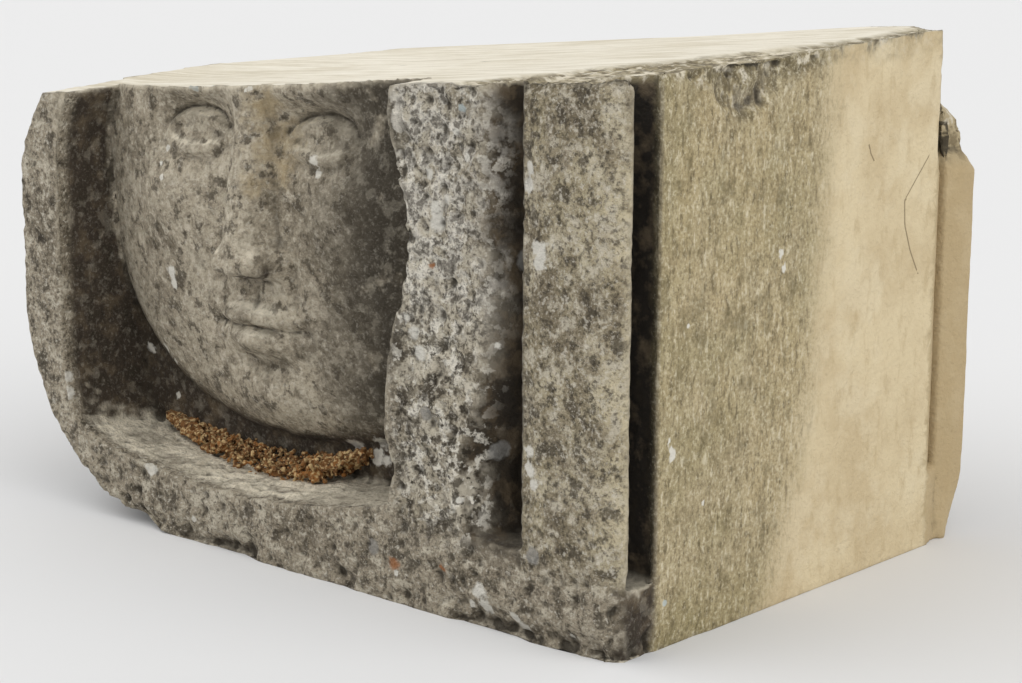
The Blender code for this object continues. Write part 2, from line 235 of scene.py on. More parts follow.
def ridge(away, relief, half_width):
    """A bell-shaped ridge: relief times the exponential of minus the squared share of the width."""
    return relief * np.exp(-(away / half_width) ** 2)


def lid_relief(across, up):
    """Two raised lids along the half circles of the almond, and the crease over the upper one."""
    along = (across - EYE_OUT) / EYE_HALF
    arch = np.sqrt(np.clip(1 - along ** 2, 0, 1))
    above, under = up - EYE_UP - UPPER_ARCH * arch, up - EYE_UP + LOWER_ARCH * arch
    lids = ridge(above, *UPPER_LID) + ridge(under, *LOWER_LID)
    return (lids - ridge(above - CREASE_ABOVE, *CREASE)) * np.exp(-along ** 6)


def face_relief(x, z):
    """How far the head stands out of the panel floor.

    Fullness falls off with powers of the distance across and below the broadest height, and each
    feature adds a mound that fades as the exponential of minus a power of the distance from it.
    """
    across = np.abs(x - HEAD_X) / HEAD_HEIGHT
    up = (z - CHIN_Z) / HEAD_HEIGHT
    below = np.clip((BROADEST_SHARE - up) / BROADEST_SHARE, 0.0, None)
    reach = (across / BROAD_SHARE) ** SIDE_POWER + below ** JAW_POWER
    fullness = np.clip(1.0 - reach ** 1.3, 0.0, 1.0) ** 0.55
    relief = nose_relief(across, up) + lid_relief(across, up) - FACE_TURN * across ** 2
    for out, height, half_width, half_height, rise, crisp in FEATURES.values():
        away = np.hypot((across - out) / half_width, (up - height) / half_height)
        relief = relief + rise * np.exp(-away ** crisp)
    lift = fullness * (PANEL_DEPTH - FACE_SETBACK) + np.sqrt(fullness) * relief * HEAD_HEIGHT
    return np.clip(lift, 0.0, PANEL_DEPTH - MM)


# %% [markdown]
# Stations go round the block anticlockwise from the back left corner. Each run knows its place in
# the foot, its place in the moulded part, and the height where its sinking stops.

# %% Stations round the block
STATION_STEP = 1.5 * MM


def polyline(corners, step):
    """Even points along straight runs between corners, the last corner left out."""
    runs = []
    for a, b in zip(corners[:-1], corners[1:]):
        a, b = np.array(a), np.array(b)
        count = max(2, int(np.linalg.norm(b - a) / step))
        runs.append(a + np.linspace(0, 1, count, endpoint=False)[:, None] * (b - a))
    return np.concatenate(runs)


def quarter(centre, radius, first, last, step):
    """Points on a circle between two angles in degrees, the last one left out."""
    count = max(3, int(radius * radians(abs(last - first)) / step))
    angle = np.radians(np.linspace(first, last, count, endpoint=False))
    return np.stack([centre[0] + radius * np.cos(angle), centre[1] + radius * np.sin(angle)], axis=1)


def stations():
    """Foot outline, moulded outline, stop height and kind of every station."""
    foot, moulded, stops, kinds = [], [], [], []

    def run(kind, above, stop_start, stop_end=None, sunk=None):
        below = above
        if sunk:
            share = np.linspace(0, 1, len(above), endpoint=False)[:, None]
            below = np.array(sunk[0]) + share * (np.array(sunk[1]) - np.array(sunk[0]))
        foot.append(below)
        moulded.append(above)
        stops.append(np.linspace(stop_start, stop_end or stop_start, len(above), endpoint=False))
        kinds.extend([kind] * len(above))

    step, coarse = STATION_STEP, 2.5 * STATION_STEP
    end_stop = SILL_HEIGHT + SILL_RISE
    run("left", polyline([(LEFT, BACK), (LEFT, FRONT + 3 * MM)], coarse), end_stop)
    edge = [(LEFT, FRONT + 3 * MM), (LEFT + 3 * MM, FRONT), (PANEL_LEFT, FRONT)]
    run("fillet", polyline(edge, step), end_stop)
    floor = FRONT + PANEL_DEPTH
    edge = [(PANEL_LEFT, FRONT), (PANEL_LEFT + 4 * MM, floor), (PANEL_RIGHT - 4 * MM, floor),
            (PANEL_RIGHT, FRONT)]
    run("panel", polyline(edge, step), end_stop, sunk=(edge[0], edge[-1]))
    run("broad", polyline([(PANEL_RIGHT, FRONT), (QUIRK_LEFT, FRONT)], step), end_stop, QUIRK_STOP)
    floor = FRONT + FRONT_QUIRK_DEPTH
    edge = [(QUIRK_LEFT, FRONT), (QUIRK_LEFT + MM, floor), (QUIRK_RIGHT - MM, floor),
            (QUIRK_RIGHT, FRONT)]
    run("quirk", polyline(edge, step), QUIRK_STOP, sunk=(edge[0], edge[-1]))
    edge = [(QUIRK_RIGHT, FRONT), (RIGHT - ROLL_ROUND, FRONT)]
    run("roll", polyline(edge, step), QUIRK_STOP)
    centre = (RIGHT - ROLL_ROUND, FRONT + ROLL_ROUND)
    run("roll", quarter(centre, ROLL_ROUND, -90, -30, step), QUIRK_STOP, SIDE_QUIRK_STOP)
    floor = RIGHT - SIDE_QUIRK_DEPTH
    edge = [(RIGHT, SIDE_QUIRK_FRONT), (floor, SIDE_QUIRK_FRONT + MM), (floor, SIDE_QUIRK_BACK - MM),
            (RIGHT, SIDE_QUIRK_BACK)]
    run("quirk", polyline(edge, step), SIDE_QUIRK_STOP, sunk=(edge[0], edge[-1]))
    edge = [(RIGHT, SIDE_QUIRK_BACK), (RIGHT, BACK_QUIRK_FRONT)]
    run("side", polyline(edge, step), SIDE_QUIRK_STOP, BACK_QUIRK_STOP)
    floor = RIGHT - BACK_QUIRK_DEPTH
    edge = [(RIGHT, BACK_QUIRK_FRONT), (floor, BACK_QUIRK_FRONT + MM), (floor, BACK_QUIRK_BACK),
            (RIGHT - 4 * MM, BACK_QUIRK_BACK + MM)]
    run("rear", polyline(edge, step), BACK_QUIRK_STOP, sunk=(edge[0], edge[-1]))
    edge = [(RIGHT - 4 * MM, BACK_QUIRK_BACK + MM), (RIGHT, BACK - BACK_ROLL_ROUND)]
    run("rear", polyline(edge, step), BACK_QUIRK_STOP)
    centre = (RIGHT - BACK_ROLL_ROUND, BACK - BACK_ROLL_ROUND)
    run("rear", quarter(centre, BACK_ROLL_ROUND, 0, 90, step), BACK_QUIRK_STOP)
    lost_end = (RIGHT - LOST_BACK_WIDTH, BACK)
    run("rear", polyline([(RIGHT - BACK_ROLL_ROUND, BACK), lost_end], coarse), BACK_QUIRK_STOP, end_stop)
    run("back", polyline([lost_end, (LEFT, BACK)], coarse), end_stop)
    return np.concatenate(foot), np.concatenate(moulded), np.concatenate(stops), np.array(kinds)


foot_line, moulded_line, stop_height, kinds = stations()
print("stations round the block:", len(kinds))

# %% [markdown]
# What weather and breaking took away is written as losses that move the stations: the left end is
# rounded off at the foot and chipped at the shoulder, the broad fillet's edge is wavy and leans out
# over the quirk's stop, and the back roll is snapped off near the top. Each loss squeezes what is
# beside it, so the skin never folds.

# %% Losses
LOST_FOOT = (125 * MM, 110 * MM)
LOST_SHOULDER = (23 * MM, 42 * MM)
FLANK_LEAN, FLANK_HEIGHT, FLANK_SPREAD = 20 * MM, 70 * MM, 36 * MM
WORN_BACK_FOOT = (15 * MM, 40 * MM)
# How far the edge between panel and broad fillet wanders to the right, by height, in mm
EDGE_HEIGHTS = (50, 68, 87, 113, 128, 143, 173, 197, 216, 244, 262)
EDGE_WANDER = (-6, -1, -7, -5, -3, 0, 7, 6, 1, -3, -1)


def lose_left_end(x, y, z):
    """Draw the left end in by powers of the height under the shoulder and over the foot."""
    low = np.clip(1 - np.sqrt(np.clip(z, 0, None) / LOST_FOOT[1]), 0, 1) ** 1.5
    high = np.clip(1 - (bed_height(LEFT, FRONT) - z) / LOST_SHOULDER[1], 0, 1) ** 1.5
    inset = (LOST_FOOT[0] * low + LOST_SHOULDER[0] * high) * (1 - 0.5 * ease(y, FRONT, BACK))
    reach = LEFT_FILLET + inset * 1.3
    return x + inset * np.clip(1 - (x - LEFT) / reach, 0, 1)


def wander_edges(x, z):
    """Shift the fillet's left edge by its wander and lean its right edge over the quirk's stop."""
    wander = np.interp(z / MM, EDGE_HEIGHTS, EDGE_WANDER) * MM
    beside = np.clip(1 - np.abs(x - PANEL_RIGHT) / (0.5 * RIGHT_FILLET), 0, 1)
    lean = FLANK_LEAN * np.exp(-((z - FLANK_HEIGHT) / FLANK_SPREAD) ** 2)
    share = np.clip((x - PANEL_RIGHT) / RIGHT_FILLET, 0, 1)
    share = np.where(x > QUIRK_LEFT, np.clip(1 - (x - QUIRK_LEFT) / FRONT_QUIRK, 0, 1), share)
    return x + wander * beside - lean * share


def lose_back_roll(x, y, z):
    """Blend the rear stations to a slant near the top, and wear the roll's foot forwards."""
    rear = np.flatnonzero(kinds == "rear")
    share = np.zeros(len(kinds))
    share[rear] = np.linspace(0, 1, len(rear))
    slant_x = RIGHT - LOST_BACK_WIDTH * share ** 1.4
    slant_y = BACK_QUIRK_FRONT + (BACK - BACK_QUIRK_FRONT) * share
    broken = ease(z, TOP - LOST_BACK_HEIGHT, TOP) * (kinds == "rear")
    foot = ease(-z, -WORN_BACK_FOOT[1], 0) * ease(y, BACK - BACK_ROLL, BACK)
    y = y - WORN_BACK_FOOT[0] * foot * ease(x, RIGHT - LOST_BACK_WIDTH, RIGHT)
    return x + broken * (slant_x - x), y + broken * (slant_y - y)


def round_shoulders(x, y):
    """Round the broad fillet and the roll beside the quirk.

    The fillet falls back with the square of the way through its last quarter, and the quirk's near
    wall starts where the fillet ends. The roll falls back with the square of the way to the quirk.
    """
    before = np.clip((x - PANEL_RIGHT) / RIGHT_FILLET, 0, 1)
    fillet = FILLET_SHOULDER * np.clip((before - 1) / FILLET_SHOULDER_SHARE + 1, 0, 1) ** 2
    after = np.clip((x - QUIRK_RIGHT) / (RIGHT - QUIRK_RIGHT), 0, 1)
    roll = ROLL_SHOULDER * np.clip(1 - after / ROLL_SHOULDER_SHARE, 0, 1) ** 2
    near_wall = (kinds == "quirk") & (x < QUIRK_LEFT + FRONT_QUIRK / 2)
    y = np.where((kinds == "broad") | near_wall, np.maximum(y, FRONT + fillet), y)
    return np.where(kinds == "roll", y + roll, y)


# %% [markdown]
# Levels are the other way across the grid: a foot up to the stop, a ledge where the plain outline
# turns into the moulded one, and the moulded part up to the bed. The closed skin is then remeshed
# into even squares, because the two beds are single big faces that weather could not touch.

# %% Make the skin and close it
LEVEL_STEP = 1.6 * MM
FOOT_LEVELS, LEDGE_LEVELS = 26, 30
VOXEL = 1.5 * MM


def skin_points():
    """Positions as an array of levels by stations by three."""
    upper_count = int((TOP - SILL_HEIGHT) / LEVEL_STEP)
    foot = np.concatenate([np.linspace(0, 1, FOOT_LEVELS), np.ones(LEDGE_LEVELS + upper_count)])[:, None]
    level = np.arange(len(foot))[:, None] - FOOT_LEVELS + 1
    ledge = np.clip(level / LEDGE_LEVELS, 0, 1)
    upper = np.clip((level - LEDGE_LEVELS) / upper_count, 0, 1)
    x = foot_line[:, 0] + ledge * (moulded_line[:, 0] - foot_line[:, 0])
    y = foot_line[:, 1] + ledge * (moulded_line[:, 1] - foot_line[:, 1])
    middle = (foot_line[:, 0] - (PANEL_LEFT + PANEL_RIGHT) / 2) / (PANEL_WIDTH / 2)
    sill = stop_height - (kinds == "panel") * SILL_RISE * (1 - middle ** 2)
    bed = bed_height(foot_line[:, 0], foot_line[:, 1])
    start = sill + LEDGE_RISE * ledge
    z = foot * start + upper * (bed - start)
    carved = np.minimum(y, FRONT + PANEL_DEPTH - face_relief(x, z))
    y = np.where((kinds == "panel") & (ledge > 0), carved, y)
    y = y + ledge * (round_shoulders(x, y) - y)
    x = x + ledge * (wander_edges(x, z) - x)
    x, y = lose_back_roll(x, y, z)
    x = lose_left_end(x, y, z)
    z = z * bed_height(x, y) / bed
    return np.stack([x, y, z], axis=-1)


def closed_mesh(name, grid):
    """A tube of quads from a levels by stations grid, closed by one face at each end."""
    rows, columns = grid.shape[:2]
    corner = np.arange(rows * columns).reshape(rows, columns)
    beside = np.roll(corner, -1, axis=1)
    quads = np.stack([corner[:-1], beside[:-1], beside[1:], corner[1:]], axis=-1).reshape(-1, 4)
    faces = quads.tolist() + [corner[0][::-1].tolist(), corner[-1].tolist()]
    mesh = bpy.data.meshes.new(name)
    mesh.from_pydata(grid.reshape(-1, 3).tolist(), [], faces)
    return mesh


def applied(piece, kind, **settings):
    """Run one modifier on a piece and keep the result as its mesh."""
    modifier = piece.modifiers.new(kind.lower(), kind)
    for key, value in settings.items():
        setattr(modifier, key, value)
    done = bpy.data.meshes.new_from_object(piece.evaluated_get(bpy.context.evaluated_depsgraph_get()))
    piece.modifiers.clear()
    piece.data = done
    return piece


stone = bpy.data.objects.new("weathered_stone", closed_mesh("weathered_stone", skin_points()))
bpy.context.scene.collection.objects.link(stone)
applied(stone, "REMESH", mode="VOXEL", voxel_size=VOXEL)
print("even skin:", len(stone.data.vertices), "points")


# %% [markdown]
# Weather works inwards from the surface. So every point moves back along its own normal by a depth
# in millimetres: long swells, roughness that differs from place to place, pits where soft shell has
# washed out, and upright drag marks on the side. Zones say where each is strong.

# %% Zones of the surface
def read_points(mesh):
    """All points and all point normals of a mesh as two arrays."""
    count = len(mesh.vertices)
    points, normals = np.empty(count * 3), np.empty(count * 3)
    mesh.vertices.foreach_get("co", points)
    mesh.vertex_normals.foreach_get("vector", normals)
    return points.reshape(-1, 3), normals.reshape(-1, 3)


def put_points(mesh, places):
    """Move the mesh's points to new places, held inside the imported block's box."""
    held = np.clip(places, block_low, block_high)
    mesh.vertices.foreach_set("co", held.ravel())
    mesh.update()


QUIRK_END = ROLL_RETURN + SIDE_QUIRK
# Where the brown stain on the side ends: by height in mm, mm behind the near corner
STAIN_HEIGHTS, STAIN_ENDS = (0, 22, 50, 98, 270), (118, 129, 144, 156, 162)
# How wide the worn margin of the bed is: by mm behind the near corner, in mm
MARGIN_PLACES, MARGIN_WIDTHS = (0, 60, 150, 230), (100, 80, 40, 14)
# Where a chunk has flaked off the side under the bed: mm behind, half width, half height
SCOOP_BEHIND, SCOOP_HALF, SCOOP_DEEP = 90, 26, 28


def past_back_quirk(y):
    """1 for the back roll and all that lies behind the side's plain face."""
    return ease(y, BACK_QUIRK_FRONT - MM, BACK_QUIRK_FRONT)


def face_zones(points, normals):
    """The faces of the block by place and slope. The front is what the other faces leave."""
    x, y, z = points.T
    behind, under_bed = y - FRONT, bed_height(x, y) - z
    bed = ease(normals[:, 2], 0.70, 0.95) * fall(under_bed, 5 * MM, 9 * MM)
    rear = ease(y, BACK - 6 * MM, BACK - MM) * (x < RIGHT - 12 * MM)
    left_end = fall(x, LEFT + 2 * MM, LEFT + 12 * MM) * ease(behind, 4 * MM, 12 * MM)
    side = ease(x, RIGHT - 6 * MM, RIGHT - 2 * MM) * ease(behind, QUIRK_END - 3 * MM, QUIRK_END)
    roll_side = ease(x, RIGHT - 30 * MM, RIGHT - 20 * MM) * past_back_quirk(y)
    side = np.maximum(side, roll_side) * (1 - bed)
    front = 1 - np.clip(bed + rear + left_end + side, 0, 1)
    return {"bed": bed, "rear": rear, "left_end": left_end, "side": side, "front": front}


def side_zones(points, wobble, bed, side):
    """Stained and clean stone, the back roll, its break, and the wear under the bed."""
    x, y, z = points.T
    behind, under_bed, beyond = y - FRONT, bed_height(x, y) - z, past_back_quirk(y)
    stain_end = np.interp(z / MM, STAIN_HEIGHTS, STAIN_ENDS) * MM
    clean = side * ease(behind - stain_end + wobble * 12 * MM, -26 * MM, 14 * MM) * (1 - 0.8 * beyond)
    lost_end = RIGHT - LOST_BACK_WIDTH
    broken = ease(z + wobble * 8 * MM, TOP - 76 * MM, TOP - 64 * MM) * beyond * (1 - bed)
    broken = broken * ease(x + wobble * 16 * MM, lost_end - 24 * MM, lost_end)
    margin = RIGHT - np.interp(behind / MM, MARGIN_PLACES, MARGIN_WIDTHS) * MM - 22 * MM * wobble
    spill = 6 * MM + 6 * MM * (1 + wobble) * ease(behind, 40 * MM, 60 * MM)
    worn = ease(x, margin - 7 * MM, margin + 7 * MM) * ease(spill - under_bed, 0, 5 * MM)
    across, down = (behind / MM - SCOOP_BEHIND) / SCOOP_HALF, under_bed / MM / SCOOP_DEEP
    scoop = ease(np.exp(-across ** 2 - down ** 2) * side + 0.35 * wobble, 0.20, 0.50) * side
    return {"clean": clean, "stained": side * (1 - clean) * (1 - beyond), "back_roll": side * beyond,
            "low_side": side * fall(z - wobble * 10 * MM, 4 * MM, 40 * MM), "broken": broken,
            "worn": np.maximum(worn * (1 - 0.8 * clean), scoop), "scoop": scoop}


def quirk_zones(points, front):
    """Zones of painted shade: the fillet's flank beside the front quirk, and the deep sinking on the side.
    """
    x, y, z = points.T
    behind = y - FRONT
    lean = FLANK_LEAN * np.exp(-((z - FLANK_HEIGHT) / FLANK_SPREAD) ** 2)
    # The fillet's flank toward the front quirk is coloured as painted shade
    channel = front * ease(x + lean, QUIRK_LEFT - 20 * MM, QUIRK_LEFT - 10 * MM)
    channel = channel * fall(x, QUIRK_RIGHT, QUIRK_RIGHT + 0.5 * MM)
    channel = channel * ease(z, QUIRK_STOP - 12 * MM, QUIRK_STOP + 4 * MM)
    # The deep sinking of the side quirk is coloured near black as painted shade
    deep = ease(x, RIGHT - 40 * MM, RIGHT - 36 * MM) * fall(x, RIGHT - 4 * MM, RIGHT - MM)
    deep = deep * ease(behind, ROLL_RETURN - MM, ROLL_RETURN + MM)
    deep = deep * fall(behind, QUIRK_END + 2 * MM, QUIRK_END + 4 * MM)
    deep = deep * ease(z, SIDE_QUIRK_STOP - 6 * MM, SIDE_QUIRK_STOP + 4 * MM)
    return {"channel": channel, "deep": deep}


def carved_zones(points, normals, wobble, front, channel):
    """The head, the painted shade on the walls and floor of its sunk panel and the painted light on the
    panel's upward faces, the crusted fillet, the roll with a painted highlight along its rounded right edge,
    and the foot.
    """
    x, y, z = points.T
    behind = y - FRONT
    sunk = front * ease(behind, 4 * MM, 10 * MM)
    # Faces that look up inside the sunk panel: a zone of painted light, given a pale ground in the shader
    level = ease(normals[:, 2], 0.35, 0.7)
    inside = ease(x, PANEL_LEFT - 2 * MM, PANEL_LEFT) * fall(x, PANEL_RIGHT, PANEL_RIGHT + 8 * MM)
    head = inside * ease(face_relief(x, z), 6 * MM, 14 * MM) * ease(-normals[:, 1], 0.2, 0.5)
    shade = head * ease(x + wobble * 14 * MM, PANEL_RIGHT - 105 * MM, PANEL_RIGHT - 35 * MM)
    strip = ease(x, PANEL_RIGHT - 4 * MM, PANEL_RIGHT + 4 * MM) * fall(x, QUIRK_LEFT, QUIRK_LEFT + 2 * MM)
    strip = front * strip * ease(z, 30 * MM, 55 * MM) * fall(behind, 8 * MM, 20 * MM)
    strip = strip * fall(x - wobble * 16 * MM, QUIRK_LEFT - 32 * MM, QUIRK_LEFT - 8 * MM)
    roll = front * ease(x, QUIRK_RIGHT - MM, QUIRK_RIGHT + MM) * ease(z, 30 * MM, 50 * MM)
    roll = roll * fall(behind, ROLL_RETURN - MM, ROLL_RETURN + MM) * (1 - channel)
    corner = ease(x, RIGHT - 9 * MM, RIGHT - MM) * fall(behind, MM, 9 * MM) * fall(z, 30 * MM, 60 * MM)
    # The sunk panel's walls and floor, where they carry neither the head nor an upward face, are a zone of
    # painted shade
    return {"head": head, "shade": shade, "recess": sunk * (1 - head) * (1 - level),
            "level": level * sunk, "strip": strip, "crust": strip * ease(z, 130 * MM, 180 * MM),
            # The band along the roll's rounded right edge is a painted highlight
            "roll": roll, "rim": roll * ease(x + wobble * 3 * MM, RIGHT - 13 * MM, RIGHT - 5 * MM),
            "foot": front * fall(z, 30 * MM, 50 * MM), "corner": corner}


# How much of the speckle of lichen each shaded zone loses
SPECKLE_LOSS = {"head": 0.5, "deep": 1.0, "channel": 0.95, "recess": 0.8, "level": 0.6, "shade": 0.6}


def left_by(zone, losses):
    """The front times what every zone in losses leaves: one minus its share times its loss."""
    left = zone["front"]
    for name, loss in losses.items():
        left = left * (1 - loss * zone[name])
    return left


def zones(points, normals):
    """A share from 0 to 1 for every named zone, from place and from the way the surface looks."""
    wobble = layered(points, 30 * MM, 3, seed=40)
    zone = face_zones(points, normals)
    zone |= side_zones(points, wobble, zone["bed"], zone["side"])
    zone |= quirk_zones(points, zone["front"])
    zone |= carved_zones(points, normals, wobble, zone["front"], zone["channel"])
    zone["open"] = left_by(zone, {"deep": 1.0, "channel": 1.0, "recess": 1.0})
    zone["speckled"] = left_by(zone, SPECKLE_LOSS)
    for name in ("recess", "worn"):
        zone[name] = zone[name] * (1 - zone["channel"])
    return zone


# %% Let the weather in
# How deep it is rough and how deep it is pitted in each zone, in mm. Sheltered zones lose less.
ROUGH_MM = {"bed": 0.1, "rear": 2.5, "left_end": 2.5, "side": 0.2, "front": 1.3, "head": -0.8,
            "strip": 3.4, "roll": -0.6, "foot": 1.6, "broken": 4.0, "worn": 2.2, "scoop": 4.0,
            "level": -0.3, "corner": 4.5}
PITTED_MM = {"front": 1.1, "head": -0.6, "strip": 1.2, "roll": -0.5, "foot": 1.2, "side": 0.25,
             "rear": 1.2, "left_end": 1.4, "broken": 2.0, "worn": 2.0}
# Sizes and depths of the other losses
ROUGH_SIZE, SMALL_SIZE, PIT_SIZE, SHELL_SIZE = 16 * MM, 5 * MM, 9 * MM, 5 * MM
DRAG_WIDTH, DRAG_DEPTH, DRAG_STRETCH = 2.6 * MM, 0.35 * MM, (1.0, 1.0, 0.14)
SWELL_SIZE, SWELL_DEPTH = 45 * MM, 0.4 * MM
CHIP_SIZE, CHIP_DEPTH, CHIP_HEIGHT = 34 * MM, 7 * MM, 16 * MM
BREAK_SIZE, BREAK_DEPTH = 18 * MM, 9 * MM
# The sizes were taken at the worn face, so weather starts this far outside it
UNWORN = 1.6 * MM


def blend(amounts, zone):
    """The sum of each zone's share times its amount, in metres."""
    return sum(amount * MM * zone[name] for name, amount in amounts.items())


def lumps(points, size, layers, seed):
    """Layered hills, from 0 to 1."""
    return 0.5 + 0.5 * layered(points, size, layers, seed=seed)


def weather(mesh):
    """Move every point inwards along its normal by the depth that the weather has reached.

    The depth is the sum of what each kind of wear takes: its own noise times its zone's amount.
    """
    points, normals = read_points(mesh)
    zone = zones(points, normals)
    rough = 0.9 * lumps(points, ROUGH_SIZE, 4, 1) + 0.5 * lumps(points, SMALL_SIZE, 2, 11)
    pitted = pits(points, PIT_SIZE, 0.5, seed=5) + 0.6 * pits(points, SHELL_SIZE, 0.55, seed=9)
    depth = blend(ROUGH_MM, zone) * rough + blend(PITTED_MM, zone) * pitted
    drag = np.clip(hills(points * DRAG_STRETCH, DRAG_WIDTH, seed=21), 0, 1)
    depth = depth + DRAG_DEPTH * zone["side"] * drag
    depth = depth + SWELL_DEPTH * (1 - zone["bed"]) * lumps(points, SWELL_SIZE, 2, 31)
    chips = np.clip(layered(points, CHIP_SIZE, 3, seed=51) * 2.6, 0, 1) * fall(points[:, 2], MM, CHIP_HEIGHT)
    depth = depth + CHIP_DEPTH * chips * (0.3 + 0.7 * zone["front"] + 0.7 * zone["left_end"])
    depth = depth + BREAK_DEPTH * zone["broken"] * lumps(points, BREAK_SIZE, 3, 71)
    moved = points - normals * (depth - UNWORN * (1 - zone["bed"]))[:, None]
    flat_foot = ease(points[:, 2], 0.2 * MM, 3 * MM)
    moved[:, 2] = points[:, 2] + (moved[:, 2] - points[:, 2]) * flat_foot
    put_points(mesh, moved)
    print("weather reached, mm:", round(depth.mean() / MM, 2), "mean,", round(depth.max() / MM, 2), "most")


weather(stone.data)

# %% [markdown]
# The weathered skin has far more points than the eye needs. Thinning takes them where the surface
# is flattest, and that would leave a few huge triangles on the side, which cannot carry a stain or
# a crack. So a random scatter of points on every flat face stays where it is.

# %% Thin the skin, but keep an even scatter of points on the flat faces
TRIANGLES = 190000
KEPT_SHARE = {"side": 0.25, "rear": 0.03, "left_end": 0.04, "bed": 0.03, "worn": 0.10}


def mark_free(piece):
    """Group the points that may go: all but a random share of each flat face, which stay fixed."""
    points, normals = read_points(piece.data)
    zone = zones(points, normals)
    kept = sum(amount * zone[name] for name, amount in KEPT_SHARE.items())
    free = np.random.default_rng(11).random(len(points)) > kept
    piece.vertex_groups.new(name="free").add(np.flatnonzero(free).tolist(), 1.0, "REPLACE")


mark_free(stone)
even_triangles = 2 * len(stone.data.polygons)
applied(stone, "DECIMATE", ratio=min(1.0, TRIANGLES / even_triangles), vertex_group="free")
stone.vertex_groups.clear()
put_points(stone.data, read_points(stone.data)[0])
stone.data.shade_smooth()
stone.data.calc_loop_triangles()
print("weathered skin:", len(stone.data.loop_triangles), "triangles")

# %% [markdown]
# Colour follows the zones too. The shares are kept on the points as attributes, next to the growths:
# rosettes of lichen, and the stains round them. Each growth keeps its distance over its own radius,
# so the shader can cut a ragged edge much finer than the mesh.

# %% Keep the zones and the growths on the points
# Where rosettes grow on the front: mm from the near corner to the right, mm up, radius in mm
WHITE_ROSETTES = [
    (-341, 137, 5), (-340, 131, 4), (-338, 200, 2.4), (-336, 207, 2), (-336, 193, 2), (-399, 76, 3.5),
    (-397, 67, 4.5), (-392, 84, 3.5), (-365, 90, 4), (-360, 84, 3), (-370, 61, 3), (-329, 37, 4),
    (-294, 13, 2.5), (-219, 211, 4), (-217, 206, 3), (-259, 246, 2.5), (-263, 243, 1.6), (-221, 55, 6),
    (-209, 53, 5), (-203, 61, 5), (-199, 52, 4), (-111, 192, 4.5), (-113, 199, 4), (-118, 215, 3),
    (-106, 205, 3), (-128, 138, 4.5), (-126, 129, 4), (-131, 145, 3), (-54, 224, 3.4), (-53, 217, 3.4),
    (-49, 188, 4.2), (-48, 182, 3), (-54, 93, 4), (-53, 86, 3.4), (-36, 91, 3), (-50, 79, 4),
    (-84, 18, 5), (-80, 12, 5), (-90, 9, 3), (-62, 8, 4), (-56, 5, 4), (-29, 7, 3), (-141, 17, 2),
    (-98, 62, 2.4), (-76, 140, 2.4), (-91, 228, 3), (-100, 236, 2.4),
]
GREY_ROSETTES = [(-67, 179, 6), (-84, 84, 6), (-51, 43, 5), (-120, 98, 4), (-22, 138, 4), (-156, 26, 5)]
BLUE_ROSETTES = [(-303, 243, 3), (-296, 245, 2.4), (-311, 244, 2), (-97, 246, 2.4), (-23, 227, 3.4)]
ORANGE_STAINS = [(-41, 182, 4), (-115, 171, 2.4), (-142, 20, 5), (-110, 24, 3)]
OCHRE_STAINS = [(-255, 236, 14), (-250, 222, 17), (-246, 208, 14), (-257, 196, 9)]
# On the side: mm behind the near corner, mm up, radius in mm
SIDE_ROSETTES = [(122, 176, 3), (123, 168, 2.6), (39, 101, 2), (42, 92, 3.4), (40, 96, 2), (52, 150, 1.4),
                 (66, 66, 1.4)]
SIDE_BLUE = [(36, 24, 1.8)]


def nearest(points, spots, look_along):
    """The least distance over radius from the spots, each first dropped onto the skin it faces.

    A spot lands on the outermost of the points within 2 mm of it, seen along y or along x.
    """
    best = np.full(len(points), 4.0)
    seen, outward = points[:, [1, 2]], points[:, 0]
    if look_along == "y":
        seen, outward = points[:, [0, 2]], -points[:, 1]
    for place, height, radius in spots:
        off = np.linalg.norm(seen - (place * MM, height * MM), axis=1)
        landing = points[np.argmax(outward - 100 * np.maximum(off - 2 * MM, 0))]
        best = np.minimum(best, np.linalg.norm(points - landing, axis=1) / (radius * MM))
    return best


def keep(mesh, name, values):
    """Store one number a point under a name that the shader can read."""
    mesh.attributes.new(name, "FLOAT", "POINT").data.foreach_set("value", values.astype(np.float32))


def crack_offset(behind, up, heights, places):
    """How far behind a crack's line each point is, and far off above or below its ends."""
    past_ends = (up < heights[0] * MM) | (up > heights[-1] * MM)
    return behind - np.interp(up / MM, heights, places) * MM + past_ends * 1.0


points, normals = read_points(stone.data)
shares = zones(points, normals)
from_corner = points - (RIGHT, FRONT, BASE)
CRACKS = {"long_crack": ((150, 164, 178, 191, 215), (246, 237, 231, 230, 255)),
          "short_crack": ((213, 218, 223), (201, 197, 195))}
cracks = {name: crack_offset(from_corner[:, 1], points[:, 2], *line) for name, line in CRACKS.items()}
on_front = {"ochre": OCHRE_STAINS, "orange": ORANGE_STAINS, "grey": GREY_ROSETTES,
            "blue": BLUE_ROSETTES, "white": WHITE_ROSETTES}
growths = {name: nearest(from_corner, spots, "y") for name, spots in on_front.items()}
for name, spots in (("blue", SIDE_BLUE), ("white", SIDE_ROSETTES)):
    growths[name] = np.minimum(growths[name], nearest(from_corner, spots, "x"))
for name, values in (shares | growths | cracks).items():
    keep(stone.data, name, values)
print("zones:", len(shares), "growths:", len(growths))

# %% [markdown]
# The stone is a soft shelly limestone, sawn and chiselled, then weathered. Limestone is matt and
# grainy: nothing shines, and all the interest is in the colour. So its shader is a stack of layers,
# from the broad stain to the finest speckle. Each layer is one noise cut between two thresholds and
# held to one zone, which is how lichen, soot and clean grain really share a face. Some zones also
# carry painted shade, in the sunk panel, in both quirks and in the hollows, and painted light, on
# the panel's upward faces, along the roll's rounded edge and, with some wear, on sharp edges.

